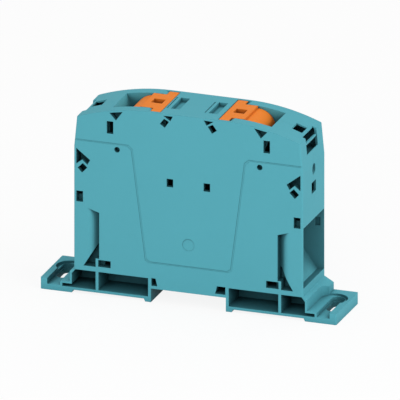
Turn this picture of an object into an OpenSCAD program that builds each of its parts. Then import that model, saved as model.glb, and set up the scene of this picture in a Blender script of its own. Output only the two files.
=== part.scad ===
// Feed-through terminal block for screw mounting, with a lever clamp for a heavy conductor at each end.
// The origin is on the mounting surface, midway between the feet. X runs along the conductors, Z is up.

/* [Housing] */
// Length of the housing over its two end faces
body_l = 96; // [94:1:104]
// Width of the housing across both shells
body_w = 26; // [25:0.5:32]
// Height of the flat top above the mounting surface
body_h = 80.3; // [79:0.1:90]
// Thickness of the side walls
wall = 2; // [1.6:0.1:2.2]
// Thickness of the end walls above the funnels
end_wall = 1; // [0.8:0.1:1.4]
// Thickness of the roof
roof_t = 2.5; // [2:0.1:3]
// Length of the flat middle of the top
top_flat = 32; // [26:1:36]
// Radius of the curved shoulders of the top
top_r = 85; // [75:1:120]
// How far each end face leans in, over the height up to the flat top
lean = 1.75; // [0.6:0.05:2.9]
// Height at which the end faces begin to lean
lean_z = 62; // [58:0.5:64]
// Height of the floor under the clamps
floor_z = 12; // [11.5:0.1:13]
// Height of the underside between the feet
middle_z = 5.8; // [4:0.1:6.4]
// Radius of the upright edges of the end faces
edge_r = 0.6; // [0.3:0.1:0.7]
// Width of the line moulded into each side face
line_w = 0.6; // [0.3:0.05:0.8]
// Depth of the line moulded into each side face
line_depth = 0.12; // [0.05:0.01:0.3]

/* [Feet] */
// How far a foot stands out from the end face
foot_out = 14; // [13.5:0.1:18]
// Height of the rim of a foot
rim_h = 4.8; // [4.4:0.1:5.4]
// Thickness of a foot under the screw head
foot_floor = 2.4; // [2:0.1:2.8]
// Distance from the end face to the middle of a screw slot
slot_out = 8.5; // [8:0.1:8.9]
// Width of a screw slot
slot_w = 4.5; // [3.2:0.1:4.9]
// Length of a screw slot across the foot
slot_l = 12; // [8:0.5:14]
// How far a screw slot lies behind the middle plane
slot_y = 1.3; // [0:0.1:1.8]
// Width of the screw head recess
head_w = 5.4; // [5:0.1:5.8]
// Radius of the corners of a foot
foot_r = 0.5; // [0.3:0.1:2]
// Distance from the middle to the inner end of a foot
foot_in = 15.7; // [15:0.1:17]
// Height of the hollow box of a foot
foot_box_h = 10; // [9:0.1:10.4]
// Thickness of the walls of the foot boxes
foot_wall = 1.2; // [1:0.1:1.6]
// Thickness of the web between the front and rear hollows
web = 1.6; // [1.2:0.1:2.4]
// Gap under a foot between its two pads
pad_gap = 1.2; // [0.6:0.1:1.4]

/* [Conductor funnels] */
// Height of the lower edge of a funnel mouth
mouth_z0 = 13.4; // [13.2:0.1:14.5]
// Height of the upper edge of a funnel mouth
mouth_z1 = 38.7; // [37.5:0.1:39.4]
// Wall left beside a funnel mouth
mouth_lip = 0.7; // [0.5:0.1:1.4]
// Height of the throat of a funnel
throat_h = 12.8; // [11:0.1:13.2]
// Width of the throat of a funnel
throat_w = 17.2; // [15:0.1:18]
// Depth of the hollow outside a funnel
taper_depth = 3; // [1:0.1:3.2]

/* [Levers] */
// Distance from the middle to a lever pin
lever_x = 21.8; // [21:0.1:22.4]
// Radius of the lever drum
drum_r = 7.5; // [7.4:0.1:7.8]
// Width of the lever plate and its drum
plate_w = 16; // [14:0.1:16.6]
// Thickness of the lever plate
plate_t = 3; // [2.4:0.1:3.4]
// Height of the lever plate above the drum
plate_step = 1; // [0.7:0.1:1.2]
// Length of the grip of a lever across the housing
grip_span = 23.2; // [21:0.1:23.4]
// Thickness of the grip of a lever
grip_t = 1.4; // [1.2:0.1:1.5]
// Width of the grip of a lever
grip_w = 4.1; // [3.6:0.1:4.2]
// Side of the driver slot in a lever
driver_w = 4.6; // [4.2:0.1:4.8]
// Diameter of a lever pin
pin_d = 4; // [3:0.1:4.2]
// Smallest radius of the lever cam
cam_r = 3.8; // [3.6:0.1:4]
// Travel of a pusher for one radian of lever turn
cam_rise = 3.6; // [3:0.1:3.8]
// Angle through which a lever opens
lever_open = 55; // [50:1:56]
// Running gap between moving pieces and their guides
run_gap = 0.3; // [0.2:0.05:0.4]

/* [Clamps] */
// Length of the current bar
copper_l = 68; // [60:1:69]
// Width of the current bar
copper_w = 13; // [10:0.5:13.4]
// Thickness of the current bar
copper_t = 4; // [3:0.1:5]
// Depth of the grip grooves under the current bar
groove_depth = 0.5; // [0.3:0.1:0.8]
// Thickness of the steel of the clamp cages
cage_t = 1; // [0.8:0.1:1.2]
// Outer bend radius of the clamp cages
cage_r = 1.6; // [1.3:0.1:2]
// Distance from the middle to the inner edge of a cage
cage_x0 = 12; // [8:0.5:13]
// Distance from the middle to the outer edge of a cage
cage_x1 = 23.5; // [20:0.1:23.8]
// Thickness of the spring strip
spring_t = 1.2; // [1:0.1:1.5]
// Mean radius of the spring bend
spring_r = 3.6; // [3:0.1:3.7]
// Slope of the clamping leg of the spring
spring_slope = 50; // [48:1:52]

/* [Hidden] */
$fn = 64;

housing_colour = [0.36, 0.66, 0.72];
lever_colour = [0.95, 0.5, 0.16];
pusher_colour = [0.85, 0.84, 0.8];
copper_colour = [0.8, 0.5, 0.33];
steel_colour = [0.72, 0.73, 0.75];

// Shared places of the housing
half_l = body_l / 2;
half_w = body_w / 2;
inner_w = half_w - wall;
foot_half = half_l + foot_out;
slot_x = half_l + slot_out;
cut = 1;
far = 100;
function lean_x(z) = half_l - lean * (z - lean_z) / (body_h - lean_z);
partition_t = 2.4;
chamber_in = 12;
chamber_x = half_l - chamber_in;
taper_in = 10.6;
taper_run = 5;
taper_x0 = half_l - taper_in;
taper_x1 = taper_x0 + taper_run;
rib_in = 0.9;
rib_x = taper_x0 + rib_in;

// Shared places of the levers, taken from the top
top_gap = 0.1;
lever_top = body_h - top_gap;
lever_z = lever_top - plate_step - drum_r;
pocket_reach = 9.8;
pocket_x0 = lever_x - pocket_reach;
grip_x0 = pocket_x0 + run_gap;
grip_x1 = grip_x0 + grip_w;
grip_bevel = 1.2;
notch_r = norm([lever_x - grip_x1 + grip_bevel, lever_top - grip_t - lever_z]) - run_gap;
seat_y0 = plate_w / 2 + run_gap;
seat_share = 5 / 9;
seat_t = seat_share * (inner_w - seat_y0);
seat_y1 = seat_y0 + seat_t;
seat_r = drum_r + 2 * run_gap;
pin_r = pin_d / 2;
pin_seat = wall / 2;
boss_t = 2;
boss_r = pin_r + boss_t;

// Sloping end of a lever pocket, which just clears the drum
slope_a = 22;
slope_z = lever_z - seat_r * sin(slope_a);
function slope_x(z) = lever_x + seat_r * cos(slope_a) + (z - slope_z) * tan(slope_a);
pocket_x1 = slope_x(lever_top);

// Shared places of the clamps, taken from the floor
throat_drop = 3.5;
throat_z1 = mouth_z1 - throat_drop;
throat_z0 = throat_z1 - throat_h;
copper_rise = 0.8;
copper_z0 = throat_z1 + copper_rise;
copper_z1 = copper_z0 + copper_t;
cage_gap = 0.4;
cage_w = 2 * (inner_w - cage_gap);
spring_w = cage_w - 2 * cage_r - 2 * run_gap;
spring_in = 1.5;
spring_x0 = cage_x0 + spring_in;
spring_z = floor_z + cage_t + spring_t / 2;
bend_gap = 0.6;
bend_x = chamber_x - bend_gap - spring_t / 2 - spring_r;
bend_z = spring_z + spring_r;
leg_rise = copper_z0 - run_gap - spring_t / 2 - bend_z;
leg_len = (leg_rise - spring_r * cos(spring_slope)) / sin(spring_slope);

// Shared places of the pushers, taken from the cam and the spring
tip_gap = 0.8;
tip_z = lever_z - cam_r - tip_gap;
ridge_h = 8;
bridge_t = 3.5;
bridge_z = tip_z - ridge_h;
pusher_gap = 1.8;
pusher_w = 2 * (inner_w - pusher_gap);
pusher_in = 2.3;
pusher_x0 = lever_x - pusher_in;
push_gap = 1.1;
push_l = 4.4;
push_x0 = cage_x1 + push_gap;
push_x1 = push_x0 + push_l;
leg_gap = 0.7;
push_leg_t = pusher_w / 2 - copper_w / 2 - leg_gap;

// Posts that join the two shells
post_r = 1.1;
post_gap = 0.05;
post_boss_r = 2.6;
upper_post = [half_l - 18.1, lever_z - 9.1];
lower_post = [chamber_x - 2, copper_z1 + 9];
upper_post_l = half_w - 2.5;
lower_post_l = half_w - 5;

function mirrored(points) =
  [for (i = [len(points) - 1 : -1 : 0]) [-points[i].x, points[i].y]];

// A flat outline in X and Z, pushed back by depth from the plane y
module slab(y, depth) {
  translate([0, y + depth, 0]) rotate([90, 0, 0]) linear_extrude(depth) children();
}

// A block between two corners
module block(low, high) {
  translate(low) cube(high - low);
}

// A round bar that runs forward from the plane y
module rod(x, y, z, radius, length) {
  translate([x, y, z]) rotate([90, 0, 0]) cylinder(r = radius, h = length);
}

module both_ends() {
  children();
  mirror([1, 0, 0]) children();
}

// What is cut away outside a rounded upright edge, with the material towards -X and +Y
module edge_waste(radius, height) {
  difference() {
    block([-radius, -cut, 0], [cut, radius, height]);
    translate([-radius, radius, -cut]) cylinder(r = radius, h = height + 2 * cut);
  }
}

// Outline of the housing and its feet, seen from the front
step_x = half_l + 3.8;
step_z = foot_box_h - 2.2;
pad_x0 = foot_in + 2.4;
pad_x1 = half_l + 0.9;
pad_slope = 0.6;

right_outline = [
  [foot_in, middle_z], [foot_in, 0], [pad_x0, 0], [pad_x0 + pad_slope, pad_gap],
  [pad_x1 - pad_slope, pad_gap], [pad_x1, 0], [foot_half, 0], [foot_half, rim_h],
  [step_x, rim_h], [step_x, step_z], [half_l, foot_box_h], [half_l, lean_z],
  [lean_x(body_h), body_h]
];

module housing_outline() {
  difference() {
    polygon(concat(right_outline, mirrored(right_outline)));
    both_ends() difference() {
      translate([top_flat / 2, lean_z]) square([half_l, body_h]);
      translate([top_flat / 2, body_h - top_r]) circle(r = top_r, $fn = 360);
    }
  }
}

// Rounded upright edges of one end face and one foot, on the front
module upright_edges() {
  lean_a = atan(lean / (body_h - lean_z));
  translate([half_l, -half_w, foot_box_h]) edge_waste(edge_r, lean_z - foot_box_h);
  translate([half_l, -half_w, lean_z]) rotate([0, -lean_a, 0]) edge_waste(edge_r, body_h - lean_z);
  translate([foot_half, -half_w, -cut]) edge_waste(foot_r, rim_h + 2 * cut);
}

// Places on a foot: the shelf a screwdriver passes over, and the hollows beside and under it
dish_r = 5.6;
dish_x = slot_x - 1.2;
dish_y = 3.2;
shelf_x = dish_x - dish_r;
shelf_z = rim_h - 0.3;
shelf_fall = 0.08;
hollow_x1 = shelf_x - 0.8;
hollow_z1 = foot_box_h - 1.8;
pocket_z0 = pad_gap + 1.1;
slit_top = pocket_z0 + 1.3;
slit_x1 = slot_x - head_w / 2 - 0.9;

// Hollows in the front of one foot, open towards the front
module foot_pockets() {
  slab(-half_w - cut, half_w + cut - web / 2) {
    polygon([
      [foot_in + foot_wall, pocket_z0], [rib_x - foot_wall / 2, pocket_z0],
      [rib_x - foot_wall / 2, foot_box_h], [foot_in + foot_wall, foot_box_h]
    ]);
    polygon([
      [rib_x + foot_wall / 2, pocket_z0], [slit_x1, pocket_z0], [slit_x1, slit_top],
      [hollow_x1, slit_top], [hollow_x1, hollow_z1],
      [half_l - foot_wall / 2, foot_box_h], [rib_x + foot_wall / 2, foot_box_h]
    ]);
  }
}

// Screw slot of one foot, the head recess that is open to the front, and the sloping shelf round it
module foot_cuts() {
  slot_reach = (slot_l - slot_w) / 2;
  slot_back = slot_y + slot_reach;
  block([slot_x - slot_w / 2, slot_y - slot_reach, -cut], [slot_x + slot_w / 2, slot_back, far]);
  for (y = [slot_y - slot_reach, slot_back])
    translate([slot_x, y, -cut]) cylinder(d = slot_w, h = far);
  translate([slot_x, slot_back, foot_floor]) cylinder(d = head_w, h = far);
  block([slot_x - head_w / 2, -half_w - cut, foot_floor], [slot_x + head_w / 2, slot_back, far]);
  intersection() {
    union() {
      translate([dish_x, dish_y, 0]) cylinder(r = dish_r, h = far);
      block([shelf_x, -half_w - cut, 0], [slot_x, dish_y, far]);
    }
    slab(-half_w - 2 * cut, body_w + 2 * cut) polygon([
      [shelf_x - cut, shelf_z + shelf_fall * cut], [foot_half, shelf_z - shelf_fall * (foot_half - shelf_x)],
      [foot_half, far / 2], [shelf_x - cut, far / 2]
    ]);
  }
}

// Inside of one funnel: a mouth over the full width, a ramp, a throat and a mark in the side wall
ramp_x0 = half_l - 2.6;
ramp_x1 = half_l - 7.9;
throat_x1 = chamber_x + 2;
funnel_end = chamber_x - cut;
mark_x = half_l - 3.5;
mark_z = throat_z1 - 3.7;
mark_w = 2;
mark_h = 3.5;
mark_wall = 0.8;

module funnel_inside() {
  intersection() {
    slab(-half_w, body_w) polygon([
      [half_l + cut, mouth_z0], [ramp_x0, mouth_z0], [ramp_x1, throat_z0], [funnel_end, throat_z0],
      [funnel_end, throat_z1], [throat_x1, throat_z1], [half_l, mouth_z1], [half_l + cut, mouth_z1]
    ]);
    linear_extrude(far) polygon([
      [funnel_end, -throat_w / 2], [throat_x1, -throat_w / 2], [half_l, mouth_lip - half_w],
      [half_l + cut, mouth_lip - half_w], [half_l + cut, half_w - mouth_lip], [half_l, half_w - mouth_lip],
      [throat_x1, throat_w / 2], [funnel_end, throat_w / 2]
    ]);
  }
  block([mark_x, mark_wall - half_w, mark_z], [mark_x + mark_w, 0, mark_z + mark_h]);
}

// Outside of one funnel: the curved hollow beside the throat and the opening under the ramp
ramp_t = 1.5;
under_depth = 5;
sill_z = floor_z + 3.6;
sill_x = rib_x + foot_wall / 2;

module funnel_outside() {
  steps = 8;
  intersection() {
    slab(-half_w - cut, half_w) polygon([
      [taper_x0, sill_z], [sill_x, sill_z], [sill_x, floor_z], [taper_x1, floor_z],
      [taper_x1, throat_z1 + 1.3], [taper_x0, throat_z1 - 0.2]
    ]);
    linear_extrude(far) polygon(concat(
      [[taper_x0, -half_w - cut], [taper_x1, -half_w - cut]],
      [for (i = [0 : steps]) let (s = i / steps)
        [taper_x1 - s * (taper_x1 - taper_x0), -half_w + taper_depth * (1 - cos(90 * s))]]
    ));
  }
  slab(-half_w - cut, under_depth + cut) polygon([
    [taper_x0, sill_z], [sill_x, sill_z], [sill_x, floor_z],
    [ramp_x0 - ramp_t, floor_z], [ramp_x1 - ramp_t, throat_z0 - ramp_t], [taper_x0, throat_z0 - ramp_t]
  ]);
}

// Hollows at one end of the housing: the clamp chamber, the end chamber and the corner chamber
end_z0 = mouth_z1 + 2.3;
end_z1 = lean_z + 2;
corner_x0 = pocket_x1 + wall;
corner_z0 = end_z1 + 1.4;
corner_roof = 0.8;
marker_w = 12.8;
marker_z0 = corner_z0 + 2.3;
marker_z1 = marker_z0 + 7.4;
marker_x = lean_x(marker_z1);
marker_back = marker_x - 7;
roof_drop = 1.6;
function top_z(x) = body_h - top_r + sqrt(pow(top_r, 2) - pow(x - top_flat / 2, 2));

module chambers() {
  slab(-inner_w, inner_w + cut) {
    polygon([
      [partition_t / 2, floor_z], [chamber_x, floor_z], [chamber_x, lean_z], [pocket_x1, lean_z + 4],
      [pocket_x1, body_h - roof_t - roof_drop], [lever_x, body_h - roof_t], [partition_t / 2, body_h - roof_t]
    ]);
    polygon([
      [chamber_x + wall, end_z0], [half_l - end_wall, end_z0], [half_l - end_wall, lean_z - cut],
      [lean_x(end_z1) - end_wall, end_z1], [chamber_x + wall, end_z1]
    ]);
    polygon([
      [corner_x0, corner_z0], [lean_x(corner_z0) - end_wall, corner_z0],
      [marker_x - end_wall, marker_z1 - corner_roof],
      [marker_back, top_z(marker_back) - corner_roof], [corner_x0, top_z(corner_x0) - corner_roof]
    ]);
  }
}

// Two openings for a marker at one upper corner, with a rib set back between them, and one in the roof
module marker_openings() {
  rib_z0 = marker_z0 + 3.7;
  rib_z1 = rib_z0 + 0.8;
  set_back = 0.3;
  sill_x0 = lean_x(marker_z0) - set_back;
  slab(-marker_w / 2, marker_w) {
    polygon([
      [far, marker_z0], [sill_x0, marker_z0], [sill_x0 - end_wall, marker_z0 - 1.2 * end_wall],
      [sill_x0 - end_wall, rib_z0], [far, rib_z0]
    ]);
    polygon([
      [far, rib_z0 - cut], [lean_x(rib_z0) - set_back, rib_z0 - cut],
      [lean_x(rib_z1) - set_back, rib_z1 + cut], [far, rib_z1 + cut]
    ]);
    polygon([[far, rib_z1], [marker_x - 1.6, rib_z1], [marker_x - 1.6, far], [far, far]]);
  }
  block([marker_back, -marker_w / 4, marker_z0], [marker_x - 2.6, marker_w / 4, far]);
}

// Slot and thumb scoop in one end face
scoop_r = 2.6;
scoop_depth = 1.6;
scoop_w = 3.4;
scoop_z = lean_z - 2.3;

module end_cuts() {
  block([half_l - wall - cut, -2.5, mouth_z1 + 11.2], [half_l + cut, 2.5, mouth_z1 + 15.8]);
  translate([half_l + scoop_r - scoop_depth, 0, scoop_z]) rotate([90, 0, 0]) rotate_extrude() polygon(concat(
    [[0, -scoop_w / 2]],
    [for (a = [-90 : 30 : 90]) [scoop_r - scoop_depth + scoop_depth * cos(a), scoop_w / 2 * sin(a)]],
    [[0, scoop_w / 2]]
  ));
}

// Opening in the roof for one lever, and the rebates beside it that the ends of the grip lie in
module lever_opening() {
  rebate_z = lever_top - grip_t - run_gap;
  below_z = body_h - roof_t - 2 * roof_drop;
  slab(-seat_y0, seat_y0 + cut) polygon([
    [pocket_x0, below_z], [slope_x(below_z), below_z], [slope_x(far), far], [pocket_x0, far]
  ]);
  slab(-grip_span / 2 - run_gap, grip_span / 2 + run_gap + cut) difference() {
    translate([pocket_x0, rebate_z]) square([lever_x - pocket_x0, body_h + cut - rebate_z]);
    translate([lever_x, lever_z]) circle(r = notch_r);
  }
}

// Walls under the roof that hold one lever: a cheek, the sloping end, the inner end and the pin boss
module lever_seat() {
  cheek_z = lever_z - 7;
  inner_end_z = lever_z - 3;
  roof_z = body_h - roof_t - roof_drop;
  high_z = body_h - roof_t + 0.4;
  slab(-seat_y1, seat_t) polygon([
    [pocket_x0 - seat_t, inner_end_z], [lever_x - 5, cheek_z], [slope_x(cheek_z) + seat_t, cheek_z],
    [slope_x(roof_z) + seat_t, roof_z], [lever_x, high_z], [pocket_x0 - seat_t, high_z]
  ]);
  slab(-seat_y1, seat_y1) {
    polygon([
      [slope_x(cheek_z), cheek_z], [slope_x(cheek_z) + seat_t, cheek_z],
      [slope_x(roof_z + cut) + seat_t, roof_z + cut], [slope_x(roof_z + cut), roof_z + cut]
    ]);
    polygon([
      [pocket_x0 - seat_t, inner_end_z], [pocket_x0, inner_end_z],
      [pocket_x0, high_z], [pocket_x0 - seat_t, high_z]
    ]);
  }
  rod(lever_x, -seat_y0, lever_z, boss_r, inner_w + pin_seat - seat_y0);
}

// Guide ribs, spring rest, stiffening rib, scoop backing and post bosses inside one end of a shell
module inner_ribs() {
  guide_t = 1;
  guide_z0 = bridge_z - bridge_t - 6;
  for (x = [pusher_x0 - run_gap - guide_t, push_x1 + run_gap])
    block([x, -inner_w, guide_z0], [x + guide_t, -pusher_w / 2 + 2, bridge_z]);
  block([cage_x1 + run_gap, -inner_w, floor_z], [bend_x, 0, floor_z + cage_t]);
  block(
    [chamber_x + wall - cut, -half_w / 2 - guide_t, mouth_z1 + 8],
    [half_l - end_wall / 2, -half_w / 2, lean_z + cut]
  );
  block([half_l - 3, -scoop_w / 2 - 1.5, scoop_z - 4], [half_l - end_wall / 2, 0, scoop_z + 4]);
  for (place = [upper_post, lower_post])
    rod(place.x, 0, place.y, post_boss_r, inner_w);
}

// Line moulded round the upper part and the middle of a side face
line_z = lean_z + 3.2;
line_foot_z = floor_z + 5.1;
line_top_x = 24.6;
line_foot_x = 16.6;

function line_outline(g) = [
  [far, line_z - g], [line_top_x + 0.6 + g, line_z - g], [line_top_x - 1.2 + g, line_z - 1.6 - g],
  [line_foot_x + 1 + g, line_foot_z + 1 - g], [line_foot_x - 0.4 + g, line_foot_z - g]
];

module moulded_line() {
  slab(-half_w - cut, cut + line_depth) difference() {
    polygon(concat(line_outline(line_w), mirrored(line_outline(line_w)), [[-far, far], [far, far]]));
    polygon(concat(line_outline(0), mirrored(line_outline(0)), [[-far, 2 * far], [far, 2 * far]]));
  }
}

// One half of the housing, from the front face back to the parting plane
pit_x0 = pocket_x0 - 5.9;
pit_x1 = pocket_x0 - 2.2;
pit_y = 6.4;
pit_depth = roof_t - 0.8;
gate_r = 2.5;
gate_depth = 0.12;
score_w = 0.4;
score_gap = 1.7;

module half_shell() {
  difference() {
    union() {
      difference() {
        slab(-half_w, half_w) housing_outline();
        both_ends() chambers();
      }
      both_ends() {
        inner_ribs();
        lever_seat();
      }
    }
    both_ends() {
      upright_edges();
      foot_pockets();
      funnel_inside();
      funnel_outside();
      marker_openings();
      end_cuts();
      lever_opening();
      block([pit_x0, -pit_y, body_h - pit_depth], [pit_x1, cut, body_h + cut]);
      rod(lever_x, cut, lever_z, pin_r + post_gap, inner_w + pin_seat + cut + post_gap);
    }
    block([-copper_l / 2, -copper_w / 2 - post_gap, copper_z0], [copper_l / 2, cut, copper_z1]);
    for (x = [pit_x0, -pit_x1])
      block([x - score_gap, -pit_y, body_h - 0.3], [x - score_gap + score_w, cut, body_h + cut]);
    moulded_line();
    rod(0, gate_depth - half_w, floor_z + 14.1, gate_r, cut);
  }
}

// Latch windows in the front face, one end
module latch_windows() {
  slab(-half_w - cut, wall + 2 * cut) {
    polygon([
      [lever_x + 5.8, lever_top - 1.4], [lever_x + 11.3, lever_top - 2.4], [lever_x + 8.6, lever_top - 5.3]
    ]);
    polygon([
      [lever_x + 9.7, lever_z - 2.7], [lever_x + 12.4, lever_z - 2.7],
      [lever_x + 12.4, lever_z + 2.5], [lever_x + 9.7, lever_z + 2.5]
    ]);
    polygon([
      [pocket_x0 - 5.5, body_h - 0.8], [pocket_x0 - 1.5, body_h - 0.95], [pocket_x0 - 4.4, body_h - 2.85]
    ]);
    polygon([
      [pocket_x0 - 3.85, body_h - 3.25], [pocket_x0 - 1.8, body_h - 2.15],
      [pocket_x0 - 0.05, body_h - 4.5], [pocket_x0 - 2.1, body_h - 5.95]
    ]);
    polygon([[6.4, lean_z - 12.4], [9.1, lean_z - 12.4], [9.1, lean_z - 9], [6.4, lean_z - 9]]);
    polygon([
      [half_l - end_wall, lean_z - 0.75], [half_l - 6.8, lean_z - 5.2], [half_l - 5.6, lean_z - 7.35],
      [half_l - 3.5, lean_z - 5.35], [half_l - end_wall, lean_z - 7.3]
    ]);
    polygon([
      [half_l - 3.75, lean_z - 6.8], [half_l - 1.6, lean_z - 8.95],
      [half_l - 3.4, lean_z - 10.85], [half_l - 5.6, lean_z - 8.5]
    ]);
    polygon([
      [half_l - 3.8, mouth_z1 + 0.1], [half_l - end_wall, mouth_z1 + 0.1],
      [half_l - end_wall, mouth_z1 + 4.6], [half_l - 3.8, mouth_z1 + 4.6]
    ]);
    polygon([
      [taper_x0 - 4.8, floor_z + 0.2], [taper_x0 + 0.4, floor_z + 0.2],
      [taper_x0 + 0.4, floor_z + 3.1], [taper_x0 - 4.8, floor_z + 3.1]
    ]);
  }
}

// Notch beside the inner end of a foot
module foot_notch(width) {
  x1 = foot_in - 0.2;
  z0 = middle_z + 1.2;
  height = 3.2;
  lean_in = 0.8;
  slab(-half_w - cut, half_w + cut - web / 2) polygon([
    [x1 - width, z0], [x1, z0], [x1, z0 + height], [x1 - width + lean_in, z0 + height]
  ]);
}

right_notch = 4.3;
left_notch = 2.5;

module front_shell() {
  color(housing_colour) difference() {
    half_shell();
    both_ends() {
      foot_cuts();
      latch_windows();
      rod(upper_post.x, cut, upper_post.y, post_r + post_gap, half_w + 2 * cut);
      rod(lower_post.x, cut, lower_post.y, post_r + post_gap, lower_post_l + cut + run_gap);
    }
    foot_notch(right_notch);
    mirror([1, 0, 0]) foot_notch(left_notch);
  }
}

module rear_shell() {
  color(housing_colour) {
    difference() {
      mirror([0, 1, 0]) half_shell();
      both_ends() foot_cuts();
    }
    both_ends() {
      rod(upper_post.x, 0, upper_post.y, post_r, upper_post_l);
      rod(lower_post.x, 0, lower_post.y, post_r, lower_post_l);
    }
  }
}

// Flat copper bar that joins the two clamps, with grooves across its underside that bite the conductor
module current_bar() {
  groove_pitch = 2.4;
  color(copper_colour) difference() {
    block([-copper_l / 2, -copper_w / 2, copper_z0], [copper_l / 2, copper_w / 2, copper_z1]);
    both_ends() for (i = [0 : 3]) {
      x = cage_x0 + 1.8 + i * groove_pitch;
      slab(-copper_w, 2 * copper_w) polygon([
        [x - groove_depth - cut, copper_z0 - cut], [x + groove_depth + cut, copper_z0 - cut],
        [x, copper_z0 + groove_depth]
      ]);
    }
  }
}

// Steel strap folded round the current bar and the spring, with its seam on top
module rounded_outline(low, high, radius) {
  size = high - low;
  translate([low.x + radius, low.y]) square([size.x - 2 * radius, size.y]);
  translate([low.x, low.y + radius]) square([size.x, size.y - 2 * radius]);
  for (x = [low.x + radius, high.x - radius], y = [low.y + radius, high.y - radius])
    translate([x, y]) circle(r = radius);
}

module clamp_cage_right() {
  length = cage_x1 - cage_x0;
  seam = 0.4;
  hole_r = 2.4;
  color(steel_colour) difference() {
    translate([cage_x0, 0, 0]) rotate([90, 0, 90]) linear_extrude(length) difference() {
      rounded_outline([-cage_w / 2, floor_z], [cage_w / 2, copper_z1 + cage_t], cage_r);
      rounded_outline(
        [cage_t - cage_w / 2, floor_z + cage_t], [cage_w / 2 - cage_t, copper_z1], cage_r - cage_t
      );
      translate([-seam / 2, copper_z1 - cut]) square([seam, cage_t + 2 * cut]);
    }
    rod((cage_x0 + cage_x1) / 2, cage_w, throat_z0 + 2, hole_r, 2 * cage_w);
  }
}

module clamp_cage_left() {
  mirror([1, 0, 0]) clamp_cage_right();
}

// Bent strip spring that presses the conductor up against the current bar
module spring_side(radius, inside, extra) {
  out = [sin(spring_slope), cos(spring_slope)];
  along = (leg_len + extra) * [-cos(spring_slope), sin(spring_slope)];
  end_x = spring_x0 - bend_x - extra;
  circle(r = radius);
  polygon([
    [end_x, -radius], [0, -radius], radius * out, radius * out + along, inside * out + along, [end_x, -inside]
  ]);
}

module clamp_spring_right() {
  outer_r = spring_r + spring_t / 2;
  inner_r = spring_r - spring_t / 2;
  color(steel_colour) slab(-spring_w / 2, spring_w) translate([bend_x, bend_z]) difference() {
    spring_side(outer_r, inner_r, 0);
    spring_side(inner_r, 0, cut);
  }
}

module clamp_spring_left() {
  mirror([1, 0, 0]) clamp_spring_right();
}

// Lever moulded in one piece: a grip to lift it by, a plate, and a drum with a cam under it
module lever_right() {
  turns = 12;
  reach = drum_r + 2;
  driver_x = lever_x - 6.9;
  hub_end = 96;
  grip_edge = 0.4;
  color(lever_colour) difference() {
    union() {
      rod(lever_x, plate_w / 2, lever_z, drum_r, plate_w);
      block([grip_x0, -plate_w / 2, lever_top - plate_t], [lever_x, plate_w / 2, lever_top]);
      slab(-grip_span / 2, grip_span) polygon([
        [grip_x0, lever_top - grip_t], [grip_x1 - grip_bevel, lever_top - grip_t],
        [grip_x1, lever_top - grip_edge], [grip_x1, lever_top], [grip_x0, lever_top]
      ]);
    }
    translate([lever_x, 0, lever_z]) slab(-half_w, body_w) polygon(concat(
      [for (i = [0 : turns]) let (
        a = lever_open * (1 - i / turns),
        r = cam_r + cam_rise * a * PI / 180
      ) [r * cos(a - 90), r * sin(a - 90)]],
      [for (i = [0 : turns]) let (a = hub_end + (180 - hub_end) * i / turns)
        [cam_r * cos(a), -cam_r * sin(a)]],
      [[-reach, 0], [-reach, -reach], [reach, -reach]],
      [[2 * reach * cos(lever_open - 90), 2 * reach * sin(lever_open - 90)]]
    ));
    rod(lever_x, half_w, lever_z, pin_r + post_gap, body_w);
    slab(-driver_w / 2, driver_w) polygon([
      [driver_x, lever_top + cut], [driver_x, lever_top - plate_t + 0.6],
      [driver_x + driver_w, lever_top - plate_t - 0.4], [driver_x + driver_w, lever_top + cut]
    ]);
  }
}

module lever_left() {
  mirror([1, 0, 0]) lever_right();
}

// Steel pin that a lever turns on
module lever_pin_right() {
  length = 2 * (inner_w + pin_seat);
  color(steel_colour) rod(lever_x, length / 2, lever_z, pin_r, length);
}

module lever_pin_left() {
  mirror([1, 0, 0]) lever_pin_right();
}

// Slide that the cam drives down on to the spring, with one leg on each side of the current bar
leg_x = bend_x + spring_r * sin(spring_slope);
leg_z = bend_z + spring_r * cos(spring_slope);
function spring_top(x) = leg_z + (leg_x - x) * tan(spring_slope) + spring_t / 2 / cos(spring_slope);

module pusher_right() {
  ridge = 1.2;
  ridge_w = plate_w - 0.8;
  tip = 0.5;
  color(pusher_colour) {
    slab(-ridge_w / 2, ridge_w) polygon([
      [lever_x - ridge, bridge_z - cut], [lever_x + ridge, bridge_z - cut], [lever_x + ridge, tip_z - 0.8],
      [lever_x + tip, tip_z], [lever_x - tip, tip_z], [lever_x - ridge, tip_z - 0.8]
    ]);
    block([pusher_x0, -pusher_w / 2, bridge_z - bridge_t], [push_x1, pusher_w / 2, bridge_z]);
    for (y = [-pusher_w / 2, pusher_w / 2 - push_leg_t])
      slab(y, push_leg_t) polygon([
        [push_x0, spring_top(push_x0) + run_gap], [push_x1, spring_top(push_x1) + run_gap],
        [push_x1, bridge_z - cut], [push_x0, bridge_z - cut]
      ]);
  }
}

module pusher_left() {
  mirror([1, 0, 0]) pusher_right();
}

front_shell();
rear_shell();
current_bar();
clamp_cage_left();
clamp_cage_right();
clamp_spring_left();
clamp_spring_right();
lever_left();
lever_right();
lever_pin_left();
lever_pin_right();
pusher_left();
pusher_right();
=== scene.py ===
import math

import bpy
from mathutils import Matrix, Vector


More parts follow.
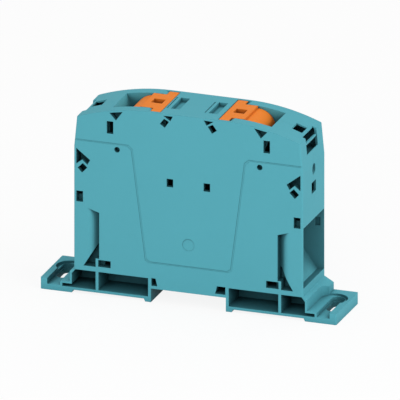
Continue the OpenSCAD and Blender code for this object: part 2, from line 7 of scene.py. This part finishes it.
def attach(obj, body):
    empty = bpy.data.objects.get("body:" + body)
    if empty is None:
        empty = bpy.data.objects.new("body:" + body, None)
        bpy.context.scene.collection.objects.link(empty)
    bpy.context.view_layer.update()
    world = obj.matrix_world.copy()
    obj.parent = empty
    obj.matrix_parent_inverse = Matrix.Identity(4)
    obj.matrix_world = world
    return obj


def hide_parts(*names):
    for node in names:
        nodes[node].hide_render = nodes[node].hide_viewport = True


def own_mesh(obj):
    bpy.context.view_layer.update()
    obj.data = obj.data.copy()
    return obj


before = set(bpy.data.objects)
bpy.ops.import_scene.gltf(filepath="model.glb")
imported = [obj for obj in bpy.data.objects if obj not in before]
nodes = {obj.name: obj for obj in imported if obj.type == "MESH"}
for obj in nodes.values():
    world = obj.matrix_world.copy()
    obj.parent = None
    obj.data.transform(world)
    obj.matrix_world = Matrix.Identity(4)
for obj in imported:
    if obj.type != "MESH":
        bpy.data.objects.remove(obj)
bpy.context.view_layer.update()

# The two half shells of the housing
# Each is one injection moulding in blue-green filled nylon, with a fine spark texture from the mould.
# They meet on the middle plane, and the front one carries the latch windows.


class Shade:
    """One socket in a material. Arithmetic on it adds Math nodes to the same material."""

    def __init__(self, tree, socket=None):
        self.tree = tree
        self.socket = socket

    def node(self, kind, settings=None, inputs=None, output=0):
        """A new node of that kind, with its settings made first. Stops are (place, grey level) of a ramp."""
        made = self.tree.nodes.new(kind)
        for name, value in (settings or {}).items():
            if name == "stops":
                stops = made.color_ramp.elements
                while len(stops) < len(value):
                    stops.new(1)
                for stop, (place, level) in zip(stops, value):
                    stop.position = place
                    stop.color = (level, level, level, 1)
            else:
                setattr(made, name, value)
        for key, value in (inputs or {}).items():
            if isinstance(value, Shade):
                self.tree.links.new(value.socket, made.inputs[key])
            else:
                made.inputs[key].default_value = value
        return Shade(self.tree, made.outputs[output])

    def openness(self, reach, facing):
        """The share of a point's surroundings that is clear within the reach, on the side it faces."""
        rays = 24
        inputs = {"Distance": reach, "Normal": facing}
        return self.node("ShaderNodeAmbientOcclusion", {"samples": rays}, inputs, output="AO")

    def tone(self, value, stops):
        """A grey level from 0 to 1 that follows the value through the stops."""
        return self.node("ShaderNodeValToRGB", {"stops": stops}, {"Fac": value})

    def maths(self, operation, first, second):
        return self.node("ShaderNodeMath", {"operation": operation}, {0: first, 1: second})

    def __add__(self, other):
        return self.maths("ADD", self, other)

    def __radd__(self, other):
        return self.maths("ADD", other, self)

    def __sub__(self, other):
        return self.maths("SUBTRACT", self, other)

    def __rsub__(self, other):
        return self.maths("SUBTRACT", other, self)

    def __mul__(self, other):
        return self.maths("MULTIPLY", self, other)

    def __rmul__(self, other):
        return self.maths("MULTIPLY", other, self)


def new_material(name):
    material = bpy.data.materials.new(name)
    material.use_nodes = True
    surface = material.node_tree.nodes["Principled BSDF"]
    return material, surface, Shade(material.node_tree)


def join(shade, surface, inputs):
    """Links what varies to the surface's sockets, and sets what is the same all over."""
    for name, value in inputs.items():
        if isinstance(value, Shade):
            shade.tree.links.new(value.socket, surface.inputs[name])
        else:
            surface.inputs[name].default_value = value


def noise(shade, size, detail=2, stretch=(1, 1, 1)):
    """Smooth noise from 0 to 1, with lumps of about the given size in metres."""
    place = shade.node("ShaderNodeTexCoord", output="Object")
    stretched = shade.node("ShaderNodeMapping", inputs={"Vector": place, "Scale": stretch})
    return shade.node(
        "ShaderNodeTexNoise", inputs={"Vector": stretched, "Scale": 1 / size, "Detail": detail}
    )


def moulded_plastic(name, colour, shadow_colour, roughness, edge_radius):
    """Satin moulded plastic: fine grain, slightly broken edges, painted shade in recesses and creases."""
    room_reach = 1.0
    lean_up = 1.2
    painted_recess_shade_tones = [(0, 0.02), (0.06, 0.15), (0.1, 0.36), (0.43, 0.39)]
    painted_recess_shade_tones += [(0.5, 0.5), (0.56, 0.72), (0.62, 1)]
    line_reach = 0.0006
    crease_reach = 0.006
    painted_crease_shade_tones = [(0.4, 0.75), (0.85, 1)]
    shallow_tones = [(0.65, 0), (0.8, 0.7)]
    underside_tones = [(0.8, 0), (0.95, 0.6)]
    grain_size = 0.0004
    grain_depth = 0.000012
    flow_size = 0.025
    flow_share = 0.05
    flow_roughness = 0.1
    edge_rays = 4
    gloss = 0.1
    material, surface, shade = new_material(name)
    flow = noise(shade, flow_size)
    facing = shade.node("ShaderNodeNewGeometry", output="Normal")
    leaning = shade.node(
        "ShaderNodeVectorMath",
        {"operation": "MULTIPLY_ADD"},
        {0: facing, 1: (lean_up, lean_up, lean_up), 2: (0, 0, 1)},
    )
    skyward = shade.node("ShaderNodeVectorMath", {"operation": "NORMALIZE"}, {0: leaning})
    # Painted shade: ambient occlusion within a metre on the upward-leaning side, and within 6 mm, darkens
    # the colour
    # towards the shadow colour in recesses and creases. Hits within 0.6 mm are added back, so thin grooves
    # stay light.
    near = shade.openness(crease_reach, facing)
    shallow = (1 - shade.openness(line_reach, facing)) * shade.tone(near, shallow_tones)
    painted_recess_shade = shade.tone(shade.openness(room_reach, skyward) + shallow, painted_recess_shade_tones)
    painted_crease_shade = shade.tone(near + shallow, painted_crease_shade_tones)
    # Faces that point down keep at least 0.6 of the colour under the painted shade.
    downward = shade.node(
        "ShaderNodeVectorMath", {"operation": "DOT_PRODUCT"}, {0: facing, 1: (0, 0, -1)}, output="Value"
    )
    underside = shade.tone(downward, underside_tones)
    # The colour level is the painted shade times a slight random flow variation in tone.
    painted_shade_and_flow = shade.maths("MAXIMUM", painted_recess_shade * painted_crease_shade, underside) * (1 - flow_share * flow)
    tint = shade.node(
        "ShaderNodeMix",
        {"data_type": "RGBA"},
        {0: painted_shade_and_flow, 6: (*shadow_colour, 1), 7: (*colour, 1)},
        output=2,
    )
    edge = shade.node("ShaderNodeBevel", {"samples": edge_rays}, {"Radius": edge_radius})
    grain = shade.node(
        "ShaderNodeBump",
        inputs={"Height": noise(shade, grain_size), "Distance": grain_depth, "Normal": edge},
    )
    dulled = roughness + flow_roughness * flow
    join(shade, surface, {"Base Color": tint, "Roughness": dulled, "Normal": grain})
    join(shade, surface, {"Specular IOR Level": gloss})
    return material


def dress(material, *names):
    for name in names:
        node = nodes[name]
        node.data.materials.clear()
        node.data.materials.append(material)


# Its base colour carries painted shade in recesses and creases, down to the shadow colour.
housing_plastic = moulded_plastic(
    "blue_green_nylon",
    colour=(0.096, 0.4, 0.475),
    shadow_colour=(0.001, 0.006, 0.008),
    roughness=0.58,
    edge_radius=0.0003,
)
dress(housing_plastic, "front_shell", "rear_shell")

# The current bar
# One flat bar of rolled copper lies in the slot of the partition and joins the two clamps.
# Its faces are bright with fine rolling lines along the bar, dulled in patches by handling.


def rolled_metal(name, colour, dull_colour, roughness, along):
    """Bare rolled metal with fine lines along one direction and dull patches."""
    line_width = 0.0002
    line_stretch = 0.03
    line_roughness = 0.15
    patch_size = 0.006
    material, surface, shade = new_material(name)
    stretch = [line_stretch if axis == along else 1 for axis in "XYZ"]
    lines = noise(shade, line_width, detail=3, stretch=stretch)
    patch = noise(shade, patch_size)
    tint = shade.node(
        "ShaderNodeMix",
        {"data_type": "RGBA"},
        {0: patch, 6: (*colour, 1), 7: (*dull_colour, 1)},
        output=2,
    )
    brushed = roughness + line_roughness * lines
    join(shade, surface, {"Base Color": tint, "Roughness": brushed, "Metallic": 1})
    return material


bar_copper = rolled_metal(
    "rolled_copper",
    colour=(0.86, 0.47, 0.31),
    dull_colour=(0.62, 0.33, 0.2),
    roughness=0.22,
    along="X",
)
dress(bar_copper, "current_bar")

# The clamp cages, clamp springs and lever pins
# The cages are folded from zinc-plated strip, and the springs are bent from bright spring strip; each spring
# is drawn as its own copy, fixed to the housing. The pins are ground rod, pressed lightly into both shells.
cage_zinc = rolled_metal(
    "zinc_strip",
    colour=(0.66, 0.67, 0.68),
    dull_colour=(0.5, 0.51, 0.53),
    roughness=0.34,
    along="Z",
)
dress(cage_zinc, "clamp_cage_left", "clamp_cage_right")
spring_strip = rolled_metal(
    "spring_strip",
    colour=(0.56, 0.57, 0.58),
    dull_colour=(0.46, 0.46, 0.47),
    roughness=0.2,
    along="X",
)
dress(spring_strip, "clamp_spring_left", "clamp_spring_right")
for side in ("left", "right"):
    spring = bpy.data.objects.new(f"bent_spring_{side}", nodes[f"clamp_spring_{side}"].data.copy())
    bpy.context.scene.collection.objects.link(spring)
    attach(spring, "housing")
    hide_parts(f"clamp_spring_{side}")
    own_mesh(spring)
pin_rod = rolled_metal(
    "ground_rod",
    colour=(0.6, 0.6, 0.61),
    dull_colour=(0.52, 0.52, 0.53),
    roughness=0.16,
    along="Y",
)
dress(pin_rod, "lever_pin_left", "lever_pin_right")

# The pushers
# Each is a small slide moulded in natural nylon, guided between ribs of both shells.
# Its tip rides on the lever's cam and its two legs press the spring down.
# Its base colour carries painted shade in recesses and creases, down to the shadow colour.
pusher_plastic = moulded_plastic(
    "natural_nylon",
    colour=(0.7, 0.68, 0.6),
    shadow_colour=(0.3, 0.28, 0.22),
    roughness=0.45,
    edge_radius=0.0003,
)
dress(pusher_plastic, "pusher_left", "pusher_right")

# The levers
# Each is one moulding in orange plastic: a bar across the housing, a plate with a driver slot, and a drum.
# It turns on the steel pin and lies flush with the top when it is closed.
# Its base colour carries painted shade in recesses and creases, down to the dark brown shadow colour.
lever_plastic = moulded_plastic(
    "orange_plastic",
    colour=(0.86, 0.235, 0.026),
    shadow_colour=(0.16, 0.03, 0.004),
    roughness=0.5,
    edge_radius=0.0003,
)
dress(lever_plastic, "lever_left", "lever_right")

# The floor
# A wide sheet of white card under the object, which lies flat on the table.
# The camera sees it almost pure white, apart from the object's soft shadow.
floor_half = 3.0
floor_mesh = bpy.data.meshes.new("floor")
floor_corners = [
    (-floor_half, -floor_half, 0),
    (floor_half, -floor_half, 0),
    (floor_half, floor_half, 0),
    (-floor_half, floor_half, 0),
]
floor_mesh.from_pydata(floor_corners, [], [(0, 1, 2, 3)])
floor = bpy.data.objects.new("floor", floor_mesh)
bpy.context.scene.collection.objects.link(floor)
card, card_surface, shade = new_material("white_card")
card_level = 0.93
card_colour = (card_level, card_level, card_level, 1)
join(shade, card_surface, {"Base Color": card_colour, "Roughness": 1, "Specular IOR Level": 0})


def seen(shade):
    """1 for what the camera sees, straight or by a mirror or glass, and 0 for light on the object."""
    straight = shade.node("ShaderNodeLightPath", output="Is Camera Ray")
    mirrored = shade.node("ShaderNodeLightPath", output="Is Glossy Ray")
    through = shade.node("ShaderNodeLightPath", output="Is Transmission Ray")
    return straight + mirrored + through


white = (1, 1, 1, 1)
white_share = 0.88
glow = shade.node("ShaderNodeEmission", inputs={"Color": white, "Strength": 1})
matte = Shade(shade.tree, card_surface.outputs[0])
card_mix = shade.node("ShaderNodeMixShader", inputs={0: white_share * seen(shade), 1: matte, 2: glow})
shade.tree.links.new(card_mix.socket, shade.tree.nodes["Material Output"].inputs["Surface"])
floor_mesh.materials.append(card)

# The light
# An even white tent all round, with one softbox in front and one high over the right end.
# Together they light the front, the top and the end face to the same level.
world = bpy.data.worlds.new("white_tent")
bpy.context.scene.world = world
world.use_nodes = True
shade = Shade(world.node_tree)
tent_level = 0.62
tent_light = shade.node("ShaderNodeBackground", inputs={"Color": white, "Strength": tent_level})
tent_wall = shade.node("ShaderNodeBackground", inputs={"Color": white, "Strength": 1})
tent = shade.node("ShaderNodeMixShader", inputs={0: seen(shade), 1: tent_light, 2: tent_wall})
shade.tree.links.new(tent.socket, shade.tree.nodes["World Output"].inputs["Surface"])


def softbox(name, place, power):
    """A square soft light that faces the middle of the block."""
    aim_height = 0.04
    side = 1.0
    lamp = bpy.data.lights.new(name, "AREA")
    lamp.shape = "SQUARE"
    lamp.size = side
    lamp.energy = power
    stand = bpy.data.objects.new(name, lamp)
    bpy.context.scene.collection.objects.link(stand)
    away = Vector(place) - Vector((0, 0, aim_height))
    turn = away.to_track_quat("Z", "Y").to_matrix().to_4x4()
    stand.matrix_world = Matrix.Translation(Vector(place)) @ turn


softbox("front_softbox", (0.1, -1.2, 0.82), power=5.5)
softbox("end_softbox", (1.05, -0.25, 1.0), power=6.8)

# The camera
# The photograph shows no perspective, so this is a parallel view at the same angle.
# It is framed on the middle of the block, and depth of field stays off.
view_round = math.radians(19.5)
view_up = math.radians(20.6)
pixels_per_metre = 2530
photo_width = 400
aim = Vector((0.00028, 0, 0.04057))
level_reach = math.cos(view_up)
toward_camera = Vector(
    (math.sin(view_round) * level_reach, -math.cos(view_round) * level_reach, math.sin(view_up))
)
camera_distance = 2.0
lens = bpy.data.cameras.new("camera")
lens.type = "ORTHO"
lens.ortho_scale = photo_width / pixels_per_metre
lens.clip_start = 0.01
lens.clip_end = 10
camera = bpy.data.objects.new("camera", lens)
bpy.context.scene.collection.objects.link(camera)
camera_turn = toward_camera.to_track_quat("Z", "Y").to_matrix().to_4x4()
camera.matrix_world = Matrix.Translation(aim + camera_distance * toward_camera) @ camera_turn
bpy.context.scene.camera = camera
bpy.context.scene.view_settings.view_transform = "Standard"
